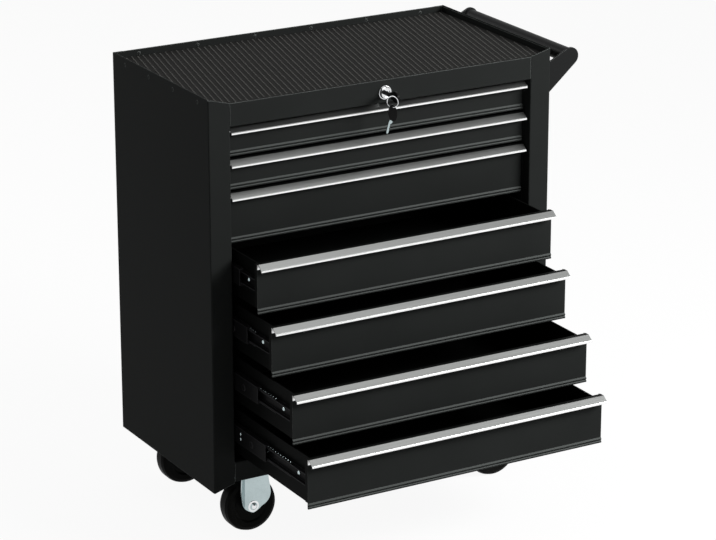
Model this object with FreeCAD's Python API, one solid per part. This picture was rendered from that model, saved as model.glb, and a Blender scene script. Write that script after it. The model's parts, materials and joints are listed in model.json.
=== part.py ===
import FreeCAD, Part
import math
import os

# A rolling tool cabinet with seven drawers, a matted top tray, a side push handle and four casters.
# It is built with the floor at z = 0, the middle of its width at x = 0 and its front plane at y = 0,
# y growing to the back. save() then moves every piece so that the origin is at the middle of the
# overall footprint, on the floor, with the drawers as they rest.

os.makedirs("parts", exist_ok=True)

V = FreeCAD.Vector

# Cabinet body
BODY_W = 615.0
BODY_D = 330.0
BODY_H = 640.0
BASE_Z = 90.0
SHEET = 1.0
BEND = 1.6
STILE_W = 37.0
STILE_RETURN = 20.0
STILE_END_DROP = 10.0
STILE_FOOT_RISE = 11.5
REAR_FLANGE = 17.0
TOP_RAIL_Z = (593.0, 630.0)
BOTTOM_RAIL_Z = (12.5, 46.0)
RAIL_RETURN = 8.0
FLOOR_PAN_Z = 22.0
TRAY_Z = 626.0
TRAY_WALL = 12.0
CORNER_CLEAR = 2.2
MAT_THICK = 3.0
MAT_FRONT = 5.5
MAT_CORNER = 2.0
MAT_MARGIN = 1.5
FOOT_NOTCH_Z = 31.0
RIVETS_X = (-262.0, -157.0, -52.0, 52.0, 157.0, 262.0)
RIVET_R = 3.0

# Drawers, from the top one down. Openings are how far each one stands out at rest.
OPENED = (0.0, 0.0, 0.0, 91.0, 135.0, 199.0, 245.0)
LIP_Z = (579.0, 526.2, 473.4, 385.5, 297.6, 209.7, 121.8)
SHALLOW_DROP = 38.3
DEEP_DROP = 71.3
HANDLE_TALL = 10.2
FACE_Y = 18.0
FRONT_W = 533.0
BOX_W = 515.0
BOX_DEPTH = 286.0
BOX_FLOOR = 3.0
SHALLOW_WALL = 44.0
DEEP_WALL = 77.0
SIDE_RETURN = 8.0
SHALLOW_SLIDE_Z = 23.5
DEEP_SLIDE_Z = 43.3

# Three-part ball slides
SLIDE_Y = (28.0, 303.0)
SLIDE_T = 1.2
OUTER_SLIDE = (35.0, 10.5)
MIDDLE_SLIDE = (27.0, 8.0)
INNER_SLIDE = (19.0, 7.0)
MIDDLE_INSET = 3.0
POST_DEPTH = 20.0
POSTS_Y = (22.0, 283.0)

# Lock, its rod to the back and the bar that blocks the drawers
LOCK_Z = 610.0
BARREL_R = 9.0
BEZEL_R = 11.0
BEZEL_Y = -6.0
BARREL_BACK = 20.0
PLUG_R = 6.5
FIT = 0.05
KEY_T = 2.0
KEY_TALL = 7.4
KEY_TIP_Y = 16.0
ROD_SIDE = 5.0
ROD_END_Y = 309.0
CRANK_R = 8.5
CRANK_T = 3.0
PIN_R = 2.5
BAR_Y = (313.0, 315.0)
BAR_X = (30.0, 50.0)
BAR_FOOT_Z = 70.0
LUG_REACH = 6.5
LUG_TALL = 7.0
TOOTH_LIFT = 13.0
TOOTH_TALL = 8.0

# Side push handle
TUBE_R = 12.5
TUBE_WALL = 1.5
TUBE_OUT = 46.5
TUBE_Z = 617.0
BRACKET_R = 15.0
BRACKET_T = 3.0
BRACKET_Z = (557.0, 610.0)
BRACKET_Y = (12.0, 316.0)
BRACKET_FLANGE = 20.0

# Casters
WHEEL_R = 45.0
WHEEL_W = 30.0
HUB_R = 27.0
AXLE_R = 6.0
CASTER_X = 228.5
CASTERS_Y = (40.0, 266.0)
TRAIL = 29.0
PLATE_HALF = (44.5, 34.0)
PLATE_T = 2.5
BOLT_AT = (34.0, 24.0)
BOLT_R = 4.0
LEG_GAP = 2.5
LEG_T = 2.5
LEG_FLAT = 15.5
LEG_FLARE = 9.6
LEG_HALF = 26.0
LEG_TOP_HALF = 22.0
LEG_FOOT = 11.0
PAN_UNDER = BASE_Z + FLOOR_PAN_Z
PLATE_UNDER = PAN_UNDER - PLATE_T
CROWN_Z = (98.5, 101.0)
RACE_R = 26.0

HALF_W = BODY_W / 2.0
OPEN_HALF = HALF_W - STILE_W
BOX_HALF = BOX_W / 2.0
FRONT_HALF = FRONT_W / 2.0
HANDLE_OUT = 15.0
REACH = TUBE_OUT + BRACKET_R
FRONT_MOST = FACE_Y - OPENED[6] - HANDLE_OUT
ORIGIN = V(REACH / 2.0, (BODY_D + FRONT_MOST) / 2.0, 0.0)


def box(x0, x1, y0, y1, z0, z1):
    return Part.makeBox(x1 - x0, y1 - y0, z1 - z0, V(x0, y0, z0))


def rod(start, direction, radius, length):
    return Part.makeCylinder(radius, length, start, direction)


def fuse(pieces):
    return pieces[0].multiFuse(pieces[1:]).removeSplitter()


def mirrored(shape):
    return shape.mirror(V(0, 0, 0), V(1, 0, 0))


def moved(shape, x=0.0, y=0.0, z=0.0):
    copy = shape.copy()
    copy.translate(V(x, y, z))
    return copy


def at_plane(plane, u, v):
    if plane == "xy":
        return V(u, v, 0)
    if plane == "xz":
        return V(u, 0, v)
    return V(0, u, v)


def extruded(face, plane, start, stop):
    normal = {"xy": V(0, 0, 1), "xz": V(0, 1, 0), "yz": V(1, 0, 0)}[plane]
    face.translate(normal * start)
    return face.extrude(normal * (stop - start))


def prism(points, plane, start, stop):
    corners = [at_plane(plane, u, v) for u, v in points]
    face = Part.Face(Part.makePolygon(corners + corners[:1]))
    return extruded(face, plane, start, stop)


def bent_sheet(path, plane, start, stop, thickness=SHEET, bend=BEND):
    """A folded sheet: path is its middle line in the plane, with a round bend at each inner corner."""
    half = thickness / 2.0
    points = [FreeCAD.Vector(u, v, 0) for u, v in path]
    runs = [(b - a).normalize() for a, b in zip(points, points[1:])]
    sides = [[], []]

    def normal(run):
        return V(-run.y, run.x, 0)

    def spot(point):
        return at_plane(plane, point.x, point.y)

    for sign, edges in zip((1, -1), sides):
        last = points[0] + normal(runs[0]) * half * sign
        for i in range(1, len(points) - 1):
            before = runs[i - 1]
            after = runs[i]
            turn = math.atan2(before.x * after.y - before.y * after.x, before.dot(after))
            cut = bend * math.tan(abs(turn) / 2.0)
            way = 1 if turn > 0 else -1
            centre = points[i] - before * cut + normal(before) * bend * way
            radius = bend - half * sign * way
            middle = (points[i] - centre).normalize()
            arc_in = points[i] - before * cut + normal(before) * half * sign
            arc_out = points[i] + after * cut + normal(after) * half * sign
            edges.append(Part.LineSegment(spot(last), spot(arc_in)).toShape())
            edges.append(Part.Arc(spot(arc_in), spot(centre + middle * radius), spot(arc_out)).toShape())
            last = arc_out
        tail = points[-1] + normal(runs[-1]) * half * sign
        edges.append(Part.LineSegment(spot(last), spot(tail)).toShape())
    ends = []
    for point, run in ((points[0], runs[0]), (points[-1], runs[-1])):
        left = point + normal(run) * half
        right = point - normal(run) * half
        ends.append(Part.LineSegment(spot(left), spot(right)).toShape())
    loop = Part.__sortEdges__(sides[0] + [ends[1]] + sides[1] + [ends[0]])
    return extruded(Part.Face(Part.Wire(loop)), plane, start, stop)


def hexagon(x, y, across, z0, z1):
    corner = across / math.sqrt(3.0)
    points = []
    for i in range(6):
        angle = math.radians(60.0 * i)
        points.append((x + corner * math.cos(angle), y + corner * math.sin(angle)))
    return prism(points, "xy", z0, z1)


def save(name, *solids):
    shape = solids[0] if len(solids) == 1 else Part.makeCompound(list(solids))
    shape = moved(shape, -ORIGIN.x, -ORIGIN.y, -ORIGIN.z)
    if not shape.isValid():
        print("not valid:", name)
    for solid in shape.Solids:
        if solid.Volume <= 0:
            print("no volume:", name)
    shape.exportStep("parts/" + name + ".step")
    box_now = shape.BoundBox
    print("%-24s solids %2d  volume %9.0f  top %7.1f" % (name, len(shape.Solids), shape.Volume, box_now.ZMax))


def side_panel():
    """The left side: outer sheet, front stile with its return, and rear flange, with a hemmed top."""
    half = SHEET / 2.0
    outer = -HALF_W + half
    path = [(-OPEN_HALF - half, STILE_RETURN),
            (-OPEN_HALF - half, half),
            (outer, half),
            (outer, BODY_D - half),
            (outer + REAR_FLANGE, BODY_D - half)]
    panel = bent_sheet(path, "xy", BASE_Z, BASE_Z + BODY_H - 1.0)
    top = BASE_Z + BODY_H
    inner = -OPEN_HALF + 1.0
    slope = [(-HALF_W + SHEET, top), (inner, top - STILE_END_DROP), (inner, top + 1.0), (-HALF_W + SHEET, top + 1.0)]
    foot = [(-HALF_W + SHEET, BASE_Z - 1.0), (inner, BASE_Z - 1.0), (inner, BASE_Z + STILE_FOOT_RISE),
            (-HALF_W + SHEET, BASE_Z)]
    panel = panel.cut(prism(slope, "xz", -1.0, STILE_RETURN + 2.0))
    panel = panel.cut(prism(foot, "xz", -1.0, STILE_RETURN + 2.0))
    behind = (-OPEN_HALF - BEND - SHEET, -OPEN_HALF + 1.0, SHEET, STILE_RETURN + 1.0)
    panel = panel.cut(box(*behind, BASE_Z + TRAY_Z, top + 1.0))
    panel = panel.cut(box(*behind, BASE_Z - 1.0, BASE_Z + FOOT_NOTCH_Z))
    hem = box(-HALF_W, -HALF_W + 2.0 * SHEET, BEND + 1.0, BODY_D - BEND - 1.0, top - 11.0, top - 1.0)
    bead = rod(V(-HALF_W + SHEET, BEND + 1.0, top - 1.0), V(0, 1, 0), SHEET, BODY_D - 2.0 * BEND - 2.0)
    return fuse([panel, hem, bead])


def top_rail():
    """The rail over the drawers: a flat face with a short return below and a hole for the lock."""
    half = SHEET / 2.0
    low = BASE_Z + TOP_RAIL_Z[0] + half
    path = [(RAIL_RETURN, low), (half, low), (half, BASE_Z + TOP_RAIL_Z[1])]
    piece = bent_sheet(path, "yz", -OPEN_HALF, OPEN_HALF)
    return piece.cut(rod(V(0, -1, BASE_Z + LOCK_Z), V(0, 1, 0), BARREL_R, RAIL_RETURN))


def bottom_rail():
    """The rail under the drawers: a flat face with a short return along each long edge."""
    half = SHEET / 2.0
    low = BASE_Z + BOTTOM_RAIL_Z[0] + half
    high = BASE_Z + BOTTOM_RAIL_Z[1] - half
    path = [(RAIL_RETURN, low), (half, low), (half, high), (RAIL_RETURN, high)]
    return bent_sheet(path, "yz", -OPEN_HALF, OPEN_HALF)


def corner_cuts(side, back, low, high):
    """Small blocks that keep a plate's four corners out of the bends of the side panels."""
    cuts = []
    for sign in (-1, 1):
        x0, x1 = sorted((sign * (side - CORNER_CLEAR), sign * (side + 1.0)))
        cuts.append(box(x0, x1, 0.0, CORNER_CLEAR, low, high))
        cuts.append(box(x0, x1, back - CORNER_CLEAR, back + 1.0, low, high))
    return cuts


def top_tray():
    """The tray under the mat: a floor that meets the top rail, and upright walls on three sides."""
    side = HALF_W - 2.0 * SHEET
    back = BODY_D - 2.0 * SHEET
    low = BASE_Z + TRAY_Z
    high = low + TRAY_WALL
    pieces = [box(-side, side, SHEET, back, low, low + SHEET),
              box(-side, -side + SHEET, SHEET, back, low, high),
              box(side - SHEET, side, SHEET, back, low, high),
              box(-side, side, back - SHEET, back, low, high + SHEET)]
    return fuse(pieces).cut(corner_cuts(side, back + SHEET, low - 1.0, high + 2.0))


def top_mat():
    """The mat on the tray floor. It stops short of the top rail and runs out to the stiles' fronts."""
    side = HALF_W - 3.0 * SHEET - MAT_MARGIN
    low = BASE_Z + TRAY_Z + SHEET
    high = low + MAT_THICK
    back = BODY_D - 3.0 * SHEET - MAT_MARGIN
    pieces = [box(-side, side, MAT_FRONT, back, low, high)]
    for sign in (-1, 1):
        x0, x1 = sorted((sign * (OPEN_HALF + BEND), sign * side))
        pieces.append(box(x0, x1, MAT_CORNER, MAT_FRONT + 1.0, low, high))
    return fuse(pieces)


def floor_pan():
    half = SHEET / 2.0
    level = BASE_Z + FLOOR_PAN_Z + half
    side = HALF_W - SHEET - half
    path = [(-side, level + 14.0), (-side, level), (side, level), (side, level + 14.0)]
    pan = bent_sheet(path, "xz", STILE_RETURN + 1.0, BODY_D - 2.0 * SHEET)
    front = box(-OPEN_HALF + 1.5, OPEN_HALF - 1.5, SHEET, STILE_RETURN + 1.0, level - half, level + half)
    pan = fuse([pan, front])
    for x, y in plate_bolts():
        pan = pan.cut(rod(V(x, y, level - 2.0), V(0, 0, 1), BOLT_R, 4.0))
    return pan


def back_panel():
    """The rear sheet, with two pairs of guides on its inner face for the lock bar."""
    side = HALF_W - SHEET - BEND
    back = BODY_D - SHEET
    sheet = box(-side, side, back - SHEET, back, BASE_Z + 6.0, BASE_Z + BODY_H - 1.0)
    pieces = [sheet]
    for z in (150.0, 430.0):
        for x, inward in ((BAR_X[0], 1), (BAR_X[1], -1)):
            wall = sorted((x - 0.6 * inward, x - 2.6 * inward))
            lip = sorted((x - 2.6 * inward, x + 3.0 * inward))
            low = BASE_Z + z
            pieces.append(box(wall[0], wall[1], BAR_Y[0] - 2.2, back - SHEET, low, low + 30.0))
            pieces.append(box(lip[0], lip[1], BAR_Y[0] - 2.2, BAR_Y[0] - 0.6, low, low + 30.0))
    return fuse(pieces)


def slide_posts():
    """Four upright channels inside the sides, to which the fixed slide members are screwed."""
    posts = []
    half = SHEET / 2.0
    low = BASE_Z + FLOOR_PAN_Z + SHEET
    high = BASE_Z + TRAY_Z
    for y in POSTS_Y:
        path = [(-HALF_W + 3.0 * SHEET, y + half), (-OPEN_HALF - half, y + half),
                (-OPEN_HALF - half, y + POST_DEPTH - half), (-HALF_W + 3.0 * SHEET, y + POST_DEPTH - half)]
        post = bent_sheet(path, "xy", low, high)
        posts += [post, mirrored(post)]
    return posts


def channel(back_x, height, reach, centre_z, y0, y1, opens):
    """One slide member: a web at back_x and two flanges that reach towards opens (+1 or -1)."""
    tall = height / 2.0
    web = sorted((back_x, back_x + SLIDE_T * opens))
    flange = sorted((back_x, back_x + reach * opens))
    pieces = [box(web[0], web[1], y0, y1, centre_z - tall, centre_z + tall)]
    for low in (centre_z - tall, centre_z + tall - SLIDE_T):
        pieces.append(box(flange[0], flange[1], y0, y1, low, low + SLIDE_T))
    return fuse(pieces)


def pair(solid):
    return [solid, mirrored(solid)]


class Drawer:
    """Levels and places of one drawer, at rest."""

    def __init__(self, index):
        self.name = "drawer_%d" % (index + 1)
        self.lip = BASE_Z + LIP_Z[index]
        self.deep = index > 1
        self.low = self.lip - (DEEP_DROP if self.deep else SHALLOW_DROP)
        self.top = self.lip + HANDLE_TALL
        self.out = OPENED[index]
        self.face = FACE_Y - self.out
        self.wall_top = self.low + (DEEP_WALL if self.deep else SHALLOW_WALL)
        self.slide_z = self.low + (DEEP_SLIDE_Z if self.deep else SHALLOW_SLIDE_Z)

    def box_solid(self):
        face = self.face
        low = self.low
        top = self.top
        front = [(face + 1.0, low + 0.4), (face + 0.4, low), (face - 1.4, low), (face - 2.0, low + 0.8),
                 (face - 2.0, low + 2.4), (face - 0.9, low + 3.6), (face - 0.9, low + 4.6),
                 (face - 2.0, low + 5.8), (face - 2.0, low + 6.8), (face, low + 9.0),
                 (face, top - SHEET), (face - 4.5, top - SHEET), (face - 4.5, top),
                 (face + 3.5, top), (face + 3.5, top - 9.0), (face + 2.5, top - 9.0),
                 (face + 2.5, top - SHEET), (face + 1.0, top - SHEET)]
        pieces = [prism(front, "yz", -FRONT_HALF, FRONT_HALF)]
        back = face + BOX_DEPTH
        floor_z = low + BOX_FLOOR
        pieces.append(box(-BOX_HALF, BOX_HALF, face + SHEET, back, floor_z, floor_z + SHEET))
        pieces.append(box(-BOX_HALF, BOX_HALF, back - SHEET, back, floor_z, self.wall_top))
        for sign in (-1, 1):
            wall = sorted((sign * BOX_HALF, sign * (BOX_HALF - SHEET)))
            hem = sorted((sign * BOX_HALF, sign * (BOX_HALF - 2.0 * SHEET)))
            edge = sorted((sign * FRONT_HALF, sign * (FRONT_HALF - SHEET)))
            pieces.append(box(wall[0], wall[1], face + SHEET, back, floor_z, self.wall_top))
            pieces.append(box(hem[0], hem[1], face + SHEET, back, self.wall_top - 6.0, self.wall_top))
            pieces.append(box(edge[0], edge[1], face, face + SIDE_RETURN, low + 10.0, top - SHEET))
        return fuse(pieces)

    def lug(self):
        """The catch welded to the back wall, behind whose upturned end the lock bar's tooth drops."""
        back = self.face + BOX_DEPTH
        end = back + LUG_REACH
        low = self.wall_top - SHEET
        x0 = BAR_X[0] + 2.0
        x1 = BAR_X[1] - 2.0
        return fuse([box(x0, x1, back, back + SHEET, low - LUG_TALL, self.wall_top),
                     box(x0, x1, back, end, low, self.wall_top),
                     box(x0, x1, end - 1.5, end, low, self.wall_top + LUG_TALL)])

    def handle(self):
        """The aluminium pull: a sloping top with a square front lip, hooked over the drawer front."""
        face = self.face
        lip = self.lip
        section = [(0.0, 1.0), (0.0, 9.2), (-4.5, 9.2), (-4.5, 10.2), (-5.0, 10.2), (-14.2, 3.2),
                   (-15.0, 2.2), (-15.0, 0.0), (-13.6, 0.0), (-13.6, 1.5), (-13.2, 2.1), (-4.6, 8.2),
                   (-1.5, 8.2), (-1.5, 1.0)]
        points = [(face + y, lip + z) for y, z in section]
        return prism(points, "yz", -FRONT_HALF, FRONT_HALF)

    def inner_slides(self):
        y0 = SLIDE_Y[0] - self.out
        y1 = SLIDE_Y[1] - self.out
        height, reach = INNER_SLIDE
        return pair(channel(-BOX_HALF, height, reach, self.slide_z, y0, y1, -1))

    def middle_slides(self):
        y0 = SLIDE_Y[0] - self.out / 2.0
        y1 = SLIDE_Y[1] - self.out / 2.0
        height, reach = MIDDLE_SLIDE
        return pair(channel(-OPEN_HALF + MIDDLE_INSET, height, reach, self.slide_z, y0, y1, 1))

    def outer_slides(self):
        height, reach = OUTER_SLIDE
        return pair(channel(-OPEN_HALF, height, reach, self.slide_z, SLIDE_Y[0], SLIDE_Y[1], 1))


def lock_barrel():
    """The fixed lock body: a domed bezel in front of the rail and a threaded body with its nut behind."""
    axis = V(0, 1, 0)
    centre = V(0, 0, BASE_Z + LOCK_Z)
    bezel = Part.makeCone(8.6, 10.2, -BEZEL_Y - 2.0, centre + V(0, BEZEL_Y, 0), axis)
    flange = rod(centre + V(0, -2.0, 0), axis, BEZEL_R, 2.0)
    body = rod(centre, axis, BARREL_R, BARREL_BACK)
    nut = hexagon(0, 0, 24.0, 0.0, 3.0)
    nut.rotate(V(0, 0, 0), V(1, 0, 0), -90)
    nut.translate(centre + V(0, SHEET, 0))
    piece = fuse([bezel, flange, body, nut])
    return piece.cut(rod(centre + V(0, BEZEL_Y - 1.0, 0), axis, PLUG_R + FIT, BARREL_BACK + 10.0))


def lock_plug():
    axis = V(0, 1, 0)
    centre = V(0, 0, BASE_Z + LOCK_Z)
    plug = rod(centre + V(0, BEZEL_Y + 1.2, 0), axis, PLUG_R, BARREL_BACK + 3.0 - BEZEL_Y - 1.2)
    half_t = KEY_T / 2.0 + FIT
    half_tall = KEY_TALL / 2.0 + FIT
    slot = box(-half_t, half_t, BEZEL_Y - 1.0, KEY_TIP_Y + 0.5, centre.z - half_tall, centre.z + half_tall)
    return plug.cut(slot)


def lock_key():
    """The key in the lock: a steel blade and a rounded grip with a hole for the ring."""
    z = BASE_Z + LOCK_Z
    half_t = KEY_T / 2.0
    blade = box(-half_t, half_t, -26.0, KEY_TIP_Y, z - KEY_TALL / 2.0, z + KEY_TALL / 2.0)
    for y in (2.0, 7.0, 12.0):
        notch = prism([(y - 1.6, z - KEY_TALL / 2.0 - 0.1), (y, z - KEY_TALL / 2.0 + 1.8),
                       (y + 1.6, z - KEY_TALL / 2.0 - 0.1)], "yz", -half_t - 1.0, half_t + 1.0)
        blade = blade.cut(notch)
    grip = rod(V(-1.6, -34.0, z), V(1, 0, 0), 9.0, 3.2)
    neck = prism([(-29.0, z - 7.0), (-21.0, z - 5.2), (-21.0, z + 5.2), (-29.0, z + 7.0)], "yz", -1.6, 1.6)
    hole = rod(V(-3.0, -38.0, z), V(1, 0, 0), 2.6, 6.0)
    return fuse([grip, neck, blade]).cut(hole)


def lock_cam():
    """The rod from the lock to the back, with a crank and its pin at the end."""
    z = BASE_Z + LOCK_Z
    half = ROD_SIDE / 2.0
    shaft = box(-half, half, BARREL_BACK + 3.0, ROD_END_Y, z - half, z + half)
    along = CRANK_R * math.sin(math.radians(45.0))
    hub = rod(V(0, ROD_END_Y, z), V(0, 1, 0), 5.0, CRANK_T)
    tip = rod(V(along, ROD_END_Y, z + along), V(0, 1, 0), 4.0, CRANK_T)
    arm = prism([(-3.2, z + 3.2), (along - 2.6, z + along + 2.6), (along + 2.6, z + along - 2.6), (3.2, z - 3.2)],
                "xz", ROD_END_Y, ROD_END_Y + CRANK_T)
    pin = rod(V(along, ROD_END_Y, z + along), V(0, 1, 0), PIN_R, BAR_Y[1] + 1.5 - ROD_END_Y)
    return fuse([shaft, hub, tip, arm, pin])


def lock_bar_strip():
    """The upright bar at the back, with a slotted head for the crank pin."""
    along = CRANK_R * math.sin(math.radians(45.0))
    pin_z = BASE_Z + LOCK_Z + along
    bar = fuse([box(BAR_X[0], BAR_X[1], BAR_Y[0], BAR_Y[1], BASE_Z + BAR_FOOT_Z, pin_z + 8.0),
                box(0.5, BAR_X[1], BAR_Y[0], BAR_Y[1], pin_z - 7.0, pin_z + 8.0)])
    slot_half = PIN_R + 0.6
    return bar.cut(box(2.5, 13.0, BAR_Y[0] - 1.0, BAR_Y[1] + 1.0, pin_z - slot_half, pin_z + slot_half))


def lock_tooth(drawer):
    """A clip on the lock bar. When the bar is down, its tooth stands in front of the drawer's lug."""
    front = FACE_Y + BOX_DEPTH + 1.5
    tip = drawer.wall_top + TOOTH_LIFT
    arm = tip + TOOTH_TALL
    x0 = BAR_X[0] + 4.0
    x1 = BAR_X[1] - 4.0
    return fuse([box(x0, x1, front, front + 1.5, tip, arm + 2.0),
                 box(x0, x1, front, BAR_Y[0], arm, arm + 2.0),
                 box(x0, x1, BAR_Y[0] - 1.5, BAR_Y[0], arm, arm + 6.0)])


def push_tube():
    y0 = BRACKET_Y[0] + BRACKET_T
    length = BRACKET_Y[1] - y0
    start = V(HALF_W + TUBE_OUT, y0, BASE_Z + TUBE_Z)
    outer = rod(start, V(0, 1, 0), TUBE_R, length)
    inner = rod(start, V(0, 1, 0), TUBE_R - TUBE_WALL, length)
    return outer.cut(inner)


def tangent_point(corner, centre, radius, way):
    """Where the line from corner touches the circle, on the side given by way."""
    span = math.hypot(centre[0] - corner[0], centre[1] - corner[1])
    heading = math.atan2(centre[1] - corner[1], centre[0] - corner[0])
    tilt = math.asin(radius / span) * way
    length = math.sqrt(span * span - radius * radius)
    return (corner[0] + length * math.cos(heading + tilt), corner[1] + length * math.sin(heading + tilt))


def handle_bracket(y, flange_way):
    """A plate that carries one end of the push tube, with a flange screwed to the side panel."""
    centre = (HALF_W + TUBE_OUT, BASE_Z + TUBE_Z)
    low = (HALF_W, BASE_Z + BRACKET_Z[0])
    high = (HALF_W, BASE_Z + BRACKET_Z[1])
    touch_low = tangent_point(low, centre, BRACKET_R, -1)
    touch_high = tangent_point(high, centre, BRACKET_R, 1)

    def spot(point):
        return V(point[0], y, point[1])

    far = (centre[0] + BRACKET_R * math.cos(math.radians(20)), centre[1] + BRACKET_R * math.sin(math.radians(20)))
    edges = [Part.LineSegment(spot(low), spot(touch_low)).toShape(),
             Part.Arc(spot(touch_low), spot(far), spot(touch_high)).toShape(),
             Part.LineSegment(spot(touch_high), spot(high)).toShape(),
             Part.LineSegment(spot(high), spot(low)).toShape()]
    plate = Part.Face(Part.Wire(edges)).extrude(V(0, BRACKET_T, 0))
    start = y if flange_way > 0 else y + BRACKET_T - BRACKET_FLANGE
    flange = box(HALF_W, HALF_W + 2.0, start, start + BRACKET_FLANGE, low[1], high[1])
    piece = fuse([plate, flange])
    for x, by, z in bracket_bolts(y, flange_way):
        piece = piece.cut(rod(V(x - 1.0, by, z), V(1, 0, 0), 3.0, 5.0))
    return piece


def bracket_bolts(y, flange_way):
    middle = y + BRACKET_T / 2.0 + flange_way * BRACKET_FLANGE / 2.0
    return [(HALF_W, middle, BASE_Z + z) for z in (BRACKET_Z[0] + 13.0, BRACKET_Z[1] - 13.0)]


def plate_centres():
    spots = [(-CASTER_X, y) for y in CASTERS_Y]
    return spots + [(CASTER_X - TRAIL, y) for y in CASTERS_Y]


def plate_bolts():
    spots = []
    for x, y in plate_centres():
        for sx in (-1, 1):
            for sy in (-1, 1):
                spots.append((x + sx * BOLT_AT[0], y + sy * BOLT_AT[1]))
    return spots


def caster_plate(x, y):
    wide, deep = PLATE_HALF
    plate = box(x - wide, x + wide, y - deep, y + deep, PLATE_UNDER, PAN_UNDER)
    corners = [e for e in plate.Edges if abs(e.Vertexes[0].Z - e.Vertexes[-1].Z) > 1.0]
    plate = plate.makeFillet(8.0, corners)
    for sx in (-1, 1):
        for sy in (-1, 1):
            plate = plate.cut(rod(V(x + sx * BOLT_AT[0], y + sy * BOLT_AT[1], PLATE_UNDER - 1.0),
                                  V(0, 0, 1), BOLT_R, PLATE_T + 2.0))
    return plate


def leg_outline(x, z, top, lean):
    """The D-shaped outline of a fork leg about its axle, closed at the top. lean shifts the top sideways."""
    def spot(u, w):
        return V(x + u, 0, z + w)

    rise = top - z
    wide = LEG_HALF
    edges = [Part.LineSegment(spot(lean - LEG_TOP_HALF, rise), spot(-wide + lean * 0.25, 26.0)).toShape(),
             Part.Arc(spot(-wide + lean * 0.25, 26.0), spot(-17.0, 0.0), spot(0.0, -LEG_FOOT)).toShape(),
             Part.Arc(spot(0.0, -LEG_FOOT), spot(17.0, 0.0), spot(wide + lean * 0.25, 26.0)).toShape(),
             Part.LineSegment(spot(wide + lean * 0.25, 26.0), spot(lean + LEG_TOP_HALF, rise)).toShape(),
             Part.LineSegment(spot(lean + LEG_TOP_HALF, rise), spot(lean - LEG_TOP_HALF, rise)).toShape()]
    return Part.Face(Part.Wire(edges))


def fork_leg(x, y, top, way, lean=0.0):
    """One pressed leg beside the wheel: flat in the middle, with edges flared away from the wheel."""
    inner = WHEEL_W / 2.0 + LEG_GAP + LEG_T / 2.0
    wide = LEG_HALF + 12.0
    reach = LEG_FLARE * (wide - LEG_FLAT) / (LEG_HALF - LEG_FLAT)
    path = [(x - wide, y + way * (inner + reach)), (x - LEG_FLAT, y + way * inner),
            (x + LEG_FLAT, y + way * inner), (x + wide, y + way * (inner + reach))]
    stock = bent_sheet(path, "xy", WHEEL_R - LEG_FOOT - 2.0, top, LEG_T, 4.0)
    outline = leg_outline(x, WHEEL_R, top, lean)
    outline.translate(V(0, y - 40.0, 0))
    leg = stock.common(outline.extrude(V(0, 80.0, 0)))
    return leg.cut(rod(V(x, y - 60.0, WHEEL_R), V(0, 1, 0), AXLE_R, 120.0))


def rigid_fork(x, y):
    legs = [fork_leg(x, y, PLATE_UNDER + 0.5, way) for way in (-1, 1)]
    return fuse([caster_plate(x, y)] + legs)


def axle(x, y):
    """A riveted axle with a domed head and a hollow tail."""
    reach = WHEEL_W / 2.0 + LEG_GAP + LEG_T
    pin = rod(V(x, y - reach, WHEEL_R), V(0, 1, 0), AXLE_R, 2.0 * reach)
    heads = []
    for way in (-1, 1):
        head = Part.makeCone(7.5, 5.0, 2.2, V(x, y + way * reach, WHEEL_R), V(0, way, 0))
        heads.append(head)
    return fuse([pin] + heads)


def wheel(x, y):
    """A moulded wheel: a tread with round shoulders, dished faces and a raised hub around the bore."""
    half = WHEEL_W / 2.0
    bore = AXLE_R + FIT
    points = [(bore, -half - 1.0), (11.0, -half - 1.0), (13.0, -half + 3.0), (HUB_R, -half + 3.0),
              (HUB_R + 3.0, -half + 0.8), (WHEEL_R - 7.0, -half), (WHEEL_R - 2.0, -half + 2.5),
              (WHEEL_R, -half + 8.0), (WHEEL_R, half - 8.0), (WHEEL_R - 2.0, half - 2.5),
              (WHEEL_R - 7.0, half), (HUB_R + 3.0, half - 0.8), (HUB_R, half - 3.0),
              (13.0, half - 3.0), (11.0, half + 1.0), (bore, half + 1.0)]
    corners = [V(r, along, 0) for r, along in points]
    face = Part.Face(Part.makePolygon(corners + corners[:1]))
    solid = face.revolve(V(0, 0, 0), V(0, 1, 0), 360.0)
    return moved(solid, x, y, WHEEL_R)


def swivel_plate(x, y):
    """The fixed half of a swivel caster: the plate, the upper race pressed under it and the king pin."""
    plate = caster_plate(x, y)
    race = Part.makeCone(RACE_R - 3.0, RACE_R, 5.5, V(x, y, PLATE_UNDER - 5.5), V(0, 0, 1))
    pin = rod(V(x, y, CROWN_Z[0] - 3.4), V(0, 0, 1), 6.0, PLATE_UNDER - CROWN_Z[0] + 3.4)
    head = rod(V(x, y, CROWN_Z[0] - 3.4), V(0, 0, 1), 9.0, 3.2)
    return fuse([plate, race, pin, head])


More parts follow.
